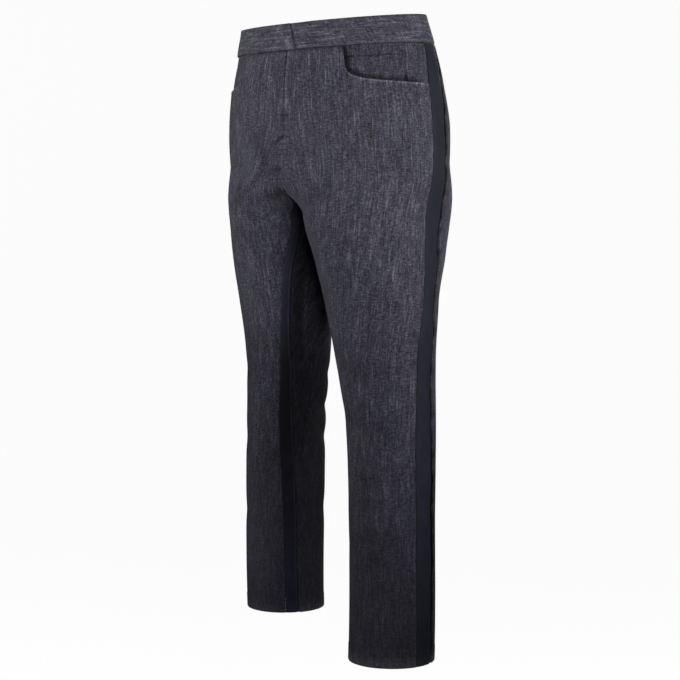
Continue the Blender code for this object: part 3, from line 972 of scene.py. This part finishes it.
def denim_material(name, level, along_band=False):
    """Dark warp with light uneven weft showing through: fine specks, with slubs along the grain."""
    n = Nodes(name)
    across, down = n.cloth_uv()
    calm = n.span(down, *CALM_DROPS, 1.0, CALM_SHARE)
    if along_band:
        across, down = down, across
    noises = {}
    mixed = None
    for row in DENIM_NOISES:
        kind, *blobs, low, high, weight = row
        noises[kind] = n.span(n.noise(across, down, *blobs), low, high)
        weighted = n.math("MULTIPLY", noises[kind], weight)
        mixed = weighted if mixed is None else n.math("ADD", mixed, weighted)
    tone = n.math("SUBTRACT", n.span(mixed, *DENIM_SPAN), MIDDLE_TONE)
    tone = n.math("ADD", n.math("MULTIPLY", tone, calm), MIDDLE_TONE)
    hue = n.ramp(n.noise(across, down, 26.0, 12.0, 3.4), DENIM_HUES)
    colour = n.times(n.ramp(tone, DENIM_COLOURS), hue, operation="MULTIPLY", socket=1)
    keep = n.math("MULTIPLY", n.unshaded(), level)
    n.link(n.times(colour, keep), n.shader.inputs["Base Color"])
    slanted = n.math("ADD", across, n.math("MULTIPLY", down, TWILL_SLANT))
    twill = n.math("SINE", n.math("MULTIPLY", slanted, TWILL_TURN))
    height = n.math("ADD", n.math("MULTIPLY", twill, 0.25), noises["fine"])
    height = n.math("ADD", height, n.math("MULTIPLY", noises["short slub"], 0.5))
    n.bump(height, DENIM_BUMP)
    n.shader.inputs["Roughness"].default_value = 0.92
    n.shader.inputs["Specular IOR Level"].default_value = 0.12
    n.shader.inputs["Sheen Weight"].default_value = 0.10
    n.shader.inputs["Sheen Roughness"].default_value = 0.45
    return n.material


def stripe_material(name):
    """Smooth dark cloth with fine ribs across the stripe."""
    n = Nodes(name)
    across, down = n.cloth_uv()
    rib = n.math("SINE", n.math("MULTIPLY", down, 2.0 * math.pi / RIB))
    mottle = n.noise(across, down, 60.0, 30.0, 5.5, detail=3.0, rough=0.55)
    grain = n.noise(across, down, 500.0, 900.0, 8.5, rough=0.6)
    tone = n.math("ADD", n.math("MULTIPLY", mottle, 0.6), n.math("MULTIPLY", grain, 0.4))
    tone = n.math("ADD", tone, n.math("MULTIPLY", rib, 0.05))
    colour = n.ramp(n.span(tone, 0.25, 0.75), STRIPE_COLOURS)
    n.link(n.times(colour, n.unshaded()), n.shader.inputs["Base Color"])
    n.bump(n.math("ADD", n.math("MULTIPLY", rib, 0.5), grain), STRIPE_BUMP)
    n.shader.inputs["Roughness"].default_value = 0.72
    n.shader.inputs["Specular IOR Level"].default_value = 0.22
    n.shader.inputs["Sheen Weight"].default_value = 0.10
    n.shader.inputs["Sheen Roughness"].default_value = 0.4
    return n.material


denim = denim_material("denim_cloth", 0.93)
# The waistband's copy is painted lighter, standing in for the brighter light at the waist.
band_denim = denim_material("denim_band", 1.12, along_band=True)
stripe_cloth = stripe_material("stripe_cloth")

# --- pieces


def finish_piece(piece, node):
    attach(piece, "root")
    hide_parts(node)


def side_seams(cloth, first_depth, last_depth):
    """The valleys of the seams along the piece's two long edges, and its rolled edges all round."""
    first = dip(cloth.first, first_depth, SEAM_VALLEY_WIDTH)
    last = dip(cloth.last, last_depth, SEAM_VALLEY_WIDTH)
    return first + last + rolled(cloth.first, cloth.last, cloth.top, cloth.bottom)


def make_front(side, word):
    cloth = front_cloth(side)
    centre = np.clip((CENTRE_FADE - cloth.drop) / CENTRE_FADE_OVER, CENTRE_LEAST, 1.0)
    centre = np.where(cloth.drop > CROTCH, CENTRE_IN_LEG, centre)
    in_pocket = cloth.angle[0] > POCKET[0][0]
    lift = dip(cloth.first, SEAM_VALLEY * centre, SEAM_VALLEY_WIDTH)
    lift = lift + dip(cloth.last, SEAM_VALLEY, SEAM_VALLEY_WIDTH)
    lift = lift + rolled(cloth.first) * centre + rolled(cloth.last, cloth.top, cloth.bottom)
    lift = lift + dip(cloth.top, np.where(in_pocket, -POCKET_LIP, SEAM_VALLEY), TOP_VALLEY_WIDTH)
    lift = lift + HEM_THICKER * (cloth.bottom < HEM_TURN) + puckered(cloth, "front")
    # Painted shadow along the centre seam and under the waistband; the pocket's edge lighter from wear and a
    # painted highlight.
    shade = edge_shades(cloth, "front") + CENTRE_SHADE * centre * line(cloth.first, 0.0, CENTRE_LINE)
    shade = shade - POCKET_LIGHT * in_pocket * line(cloth.top, POCKET_LIGHT_PLACE, POCKET_LIGHT_WIDTH)
    uneven = 1.0 + 0.5 * wander(cloth.first, 1.3 + side, 0.024)
    shade = shade + TOP_SHADE * uneven * ~in_pocket * line(cloth.top, 0.0, TOP_LINE)
    in_fly = ramp_down(cloth.drop, FLY_DROP, FLY_FADE)
    if side < 0:
        lift = lift - FLY_GROOVE * line(cloth.first, FLY_WIDTH + 0.002, FLY_LINE) * in_fly
        light_line = line(cloth.first, FLY_WIDTH, 0.0024) * ramp_down(cloth.drop, FLY_STREAK_DROP, FLY_FADE)
        shade = shade - light_line * (0.55 + 0.40 * wander(cloth.drop, 0.6, 0.011))
        shade = shade + 0.3 * in_fly * line(cloth.first, 0.0008, FLY_LINE)
    else:
        light_line = line(cloth.first, 0.0032, FLY_LINE) * in_fly
        shade = shade - light_line * (0.60 + 0.4 * wander(cloth.drop, 2.0, 0.03))
    joined = line(cloth.first, 0.0, JOINED_WIDTH) * (cloth.drop <= CROTCH)
    piece = shell(f"denim_front_{word}", cloth, lift, denim, shade, uv_shift=1.0, joined=joined)
    finish_piece(piece, f"front_{word}")


def make_back(side, word):
    cloth = back_cloth(side)
    lift = side_seams(cloth, REAR_VALLEY, SEAM_VALLEY) + dip(cloth.top, SEAM_VALLEY, 0.003)
    lift = lift + HEM_THICKER * (cloth.bottom < HEM_TURN) + puckered(cloth, "back")
    mottle = wander(cloth.top, 1.9, MOTTLE_PERIOD) * line(cloth.first, MOTTLE_PLACE, MOTTLE_PLACE)
    # Painted shade behind the side stripe and on the inner leg.
    hip = ramp_down(cloth.drop, HIP_SHADE_END, HIP_SHADE_OVER) * line(cloth.first, 0.0, HIP_SHADE_WIDTH)
    beside = inner_beside(cloth.drop) * patch(cloth.last, 0.0, BESIDE_WIDTH)
    further = inner_further(cloth.drop) * patch(cloth.last, FURTHER_PLACE, FURTHER_WIDTH)
    # A painted highlight down the inner thigh.
    light_line = line(cloth.last, THIGH_HIGHLIGHT_PLACE, THIGH_HIGHLIGHT_WIDTH)
    light_line = light_line * line(cloth.drop, THIGH_HIGHLIGHT_DROP, THIGH_HIGHLIGHT_LENGTH)
    shade = edge_shades(cloth, "back") - MOTTLE * mottle + HIP_SHADE * hip
    shade = shade + (cloth.drop > CROTCH) * (beside + further) - THIGH_HIGHLIGHT * light_line
    joined = line(cloth.last, 0.0, JOINED_WIDTH) * (cloth.drop <= CROTCH)
    piece = shell(f"denim_back_{word}", cloth, lift, denim, shade, uv_shift=0.0, joined=joined)
    finish_piece(piece, f"back_{word}")


def make_side_stripe(side, word):
    drops = np.concatenate((hip_drops(), leg_drops(side)))
    cloth = strip_cloth(side, drops, side_edges, SIDE_STRIPE_COLUMNS)
    lift = side_seams(cloth, SEAM_VALLEY, REAR_VALLEY) + puckered(cloth, "side_stripe")
    # Painted shade in its seams and down the stripe to the calf.
    shade = edge_shades(cloth, "side_stripe") - STRIPE_LIGHT
    shade = shade + STRIPE_SHADE * ramp_down(cloth.drop, STRIPE_SHADE_END, STRIPE_SHADE_OVER)
    piece = shell(f"stripe_side_{word}", cloth, lift, stripe_cloth, shade)
    finish_piece(piece, f"side_stripe_{word}")


def make_inseam_stripe(side, word):
    cloth = strip_cloth(side, leg_drops(side), inseam_edges, INSEAM_STRIPE_COLUMNS, under_crotch=True)
    lift = side_seams(cloth, SEAM_VALLEY, 0.4 * SEAM_VALLEY)
    # Painted shade and painted light of the inner leg, and the seam's light line, partly a painted highlight.
    shade = np.maximum(edge_shades(cloth, "inseam_stripe") + inner_stripe(cloth.drop), -LIGHTEST)
    joined = line(cloth.top, 0.0, JOINED_WIDTH) * (cloth.drop <= CROTCH)
    piece = shell(f"stripe_inseam_{word}", cloth, lift, stripe_cloth, shade, joined=joined)
    finish_piece(piece, f"inseam_stripe_{word}")


def make_facing(side, word):
    cloth = facing_cloth(side)
    above = BAND_DEPTH + scoop(cloth.angle) - cloth.drop
    ahead = np.radians(cloth.angle - POCKET[0][0]) * POCKET_RADIUS
    ragged = GAPE_HEIGHT + GAPE_RAGGED * wander(cloth.first, 2.3, 0.016)
    below_edge = patch(np.maximum(above, 0.0), 0.0, ragged)
    behind_edge = GAPE_SIDE * line(np.maximum(ahead, 0.0), 0.0, GAPE_SIDE_WIDTH)
    gape = np.maximum(below_edge, behind_edge) * ramp_down(cloth.angle, GAPE_END, GAPE_FADE)
    mark = patch(cloth.angle, MARK_ANGLE, MARK_WIDTH) * patch(above, 0.0, MARK_HEIGHT)
    crease = line(cloth.drop, BAND_DEPTH + FACING_CREASE_DROP, FACING_CREASE_WIDTH)
    crease = crease * (cloth.angle < FACING_CREASE_END)
    lift = -(CLOTH + FACING_CLEAR + FACING_SUNK) - FACING_CREASE * crease
    if side > 0:
        lift = lift - GAPE * gape
    # Painted shade all over the facing, darker where the pocket gapes, at the upright mark and along the
    # crease.
    shade = FACING_SHADE + GAPE_SHADE * gape + MARK_SHADE * mark + FACING_CREASE_SHADE * crease
    shade = np.clip(shade if side > 0 else FAR_FACING * shade, 0.0, FACING_DARKEST)
    piece = shell(f"denim_pocket_facing_{word}", cloth, lift, denim, shade)
    finish_piece(piece, f"pocket_facing_{word}")


def make_band():
    cloth, lift = band_cloth()
    lift = lift + rolled(cloth.first, cloth.last, cloth.top, cloth.bottom)
    lift = lift + dip(cloth.bottom, 0.6 * SEAM_VALLEY, 0.002)
    lift = lift + LAP_THICKER * (1.0 - np.clip(cloth.last / LAP_THICKER_WIDTH, 0.0, 1.0))
    lift = lift + BAND_WAVE * wander(cloth.first, 1.1, 0.060) * np.clip(cloth.top / 0.01, 0.0, 1.0)
    uneven = 1.0 + 0.4 * wander(cloth.first, 0.7, 0.026)
    # Painted shadow in the seam under the band and at the lap's end, and the marks of painted highlight and
    # shade.
    shade = BAND_SEAM_SHADE * uneven * line(cloth.bottom, 0.0, 0.0014)
    shade = shade - BAND_SEAM_LIGHT * uneven * line(cloth.bottom, BAND_SEAM_LIGHT_PLACE, 0.0012)
    share = cloth.drop / BAND_DEPTH
    beyond_lap = cloth.first - UNDERLAP - OVERLAP_TOP * (1.0 - share) - OVERLAP_BOTTOM * share
    shade = shade + LAP_SHADE * line(beyond_lap, 0.0, 0.0014)
    behind = np.where(cloth.first > 0.5 * cloth.width, cloth.last, -beyond_lap)
    for row in BAND_MARKS:
        mark = dict(zip(BAND_MARK_COLUMNS, row))
        place = mark["behind"] + mark["slant"] * (cloth.drop - 0.5 * BAND_DEPTH)
        shade = shade + mark["shade"] * line(behind, place, mark["width"])
    piece = shell("denim_waistband", cloth, lift, band_denim, shade)
    finish_piece(piece, "waistband")


make_band()
for side, word in ((1, "left"), (-1, "right")):
    make_front(side, word)
    make_back(side, word)
    make_side_stripe(side, word)
    make_inseam_stripe(side, word)
    make_facing(side, word)

# --- stage, lights and camera

FLOOR_DROP = 1.30
STAGE_RADIUS = 7.0
STAGE_BEND = 2.8
STAGE_TOP = 6.0
STAGE_GLOW = 0.95
STAGE_GREY = 0.8
BEND_STEPS = 8
STAGE_SIDES = 64

# Soft lights round the garment: degrees from its front towards the wearer's left, distance, height, the
# height they aim at, width, power and how wide they spread.
LIGHT_COLUMNS = ("name", "turn", "radius", "height", "aim", "width", "power", "spread")
LIGHTS = (
    ("side", 100.0, 1.2, -0.10, -0.13, 0.9, 2.3, 90.0),
    ("key", 60.0, 1.2, -0.10, -0.13, 0.9, 3.0, 90.0),
    ("fill", -40.0, 1.2, -0.10, -0.13, 0.9, 4.0, 90.0),
    ("back", 212.0, 1.5, 0.10, -0.25, 1.2, 7.0, 120.0),
)
LIGHT_HEIGHT = 0.5
WORLD_GLOW = 0.012

# The photograph's angle: 38 degrees to the wearer's left of the front, looking 3.6 degrees down.
CAMERA_PLACE = (1.610, -2.041, -0.295)
CAMERA_TILT = 86.4
CAMERA_TURN = 38.0
CAMERA_LENS = 94.4
CAMERA_SENSOR = 36.0


def make_stage():
    """A pale round floor that runs up into a pale wall. It glows for the camera and lights nothing."""
    flat = STAGE_RADIUS - STAGE_BEND
    profile = [(0.0, -FLOOR_DROP), (flat, -FLOOR_DROP)]
    for k in range(1, BEND_STEPS + 1):
        turn = math.radians(90.0 * k / BEND_STEPS)
        height = -FLOOR_DROP + STAGE_BEND * (1.0 - math.cos(turn))
        profile.append((flat + STAGE_BEND * math.sin(turn), height))
    profile.append((STAGE_RADIUS, STAGE_TOP))
    points, faces = [], []
    for radius, height in profile:
        for k in range(STAGE_SIDES):
            turn = 2.0 * math.pi * k / STAGE_SIDES
            points.append((radius * math.cos(turn), radius * math.sin(turn), height))
    for i in range(len(profile) - 1):
        low, high = i * STAGE_SIDES, (i + 1) * STAGE_SIDES
        for k in range(STAGE_SIDES):
            right = (k + 1) % STAGE_SIDES
            faces.append((low + k, low + right, high + right, high + k))
    mesh = bpy.data.meshes.new("studio_floor")
    mesh.from_pydata(points, [], faces)
    mesh.shade_smooth()
    n = Nodes("studio_white")
    n.shader.inputs["Base Color"].default_value = (STAGE_GREY, STAGE_GREY, STAGE_GREY, 1.0)
    n.shader.inputs["Roughness"].default_value = 1.0
    n.shader.inputs["Specular IOR Level"].default_value = 0.0
    n.shader.inputs["Emission Color"].default_value = (1.0, 1.0, 1.0, 1.0)
    n.shader.inputs["Emission Strength"].default_value = STAGE_GLOW
    mesh.materials.append(n.material)
    floor = bpy.data.objects.new("studio_floor", mesh)
    bpy.context.scene.collection.objects.link(floor)
    floor.visible_diffuse = False
    floor.visible_glossy = False


def make_light(name, turn, radius, height, aim, width, power, spread):
    data = bpy.data.lights.new(name, "AREA")
    data.shape = "RECTANGLE"
    data.size, data.size_y, data.energy = width, LIGHT_HEIGHT, power
    data.spread = math.radians(spread)
    light = bpy.data.objects.new(name, data)
    at = math.radians(turn)
    light.location = (radius * math.sin(at), -radius * math.cos(at), height)
    light.rotation_euler = (math.atan2(radius, height - aim), 0.0, at)
    light.visible_camera = False
    bpy.context.scene.collection.objects.link(light)


def make_world():
    world = bpy.data.worlds.new("studio")
    world.use_nodes = True
    background = world.node_tree.nodes["Background"]
    background.inputs["Color"].default_value = (1.0, 1.0, 1.0, 1.0)
    background.inputs["Strength"].default_value = WORLD_GLOW
    bpy.context.scene.world = world


def make_camera():
    data = bpy.data.cameras.new("camera")
    data.sensor_width = CAMERA_SENSOR
    data.lens = CAMERA_LENS
    camera = bpy.data.objects.new("camera", data)
    camera.location = CAMERA_PLACE
    camera.rotation_euler = (math.radians(CAMERA_TILT), 0.0, math.radians(CAMERA_TURN))
    bpy.context.scene.collection.objects.link(camera)
    bpy.context.scene.camera = camera


make_stage()
for row in LIGHTS:
    make_light(**dict(zip(LIGHT_COLUMNS, row)))
make_world()
make_camera()
bpy.context.scene.view_settings.view_transform = "Standard"
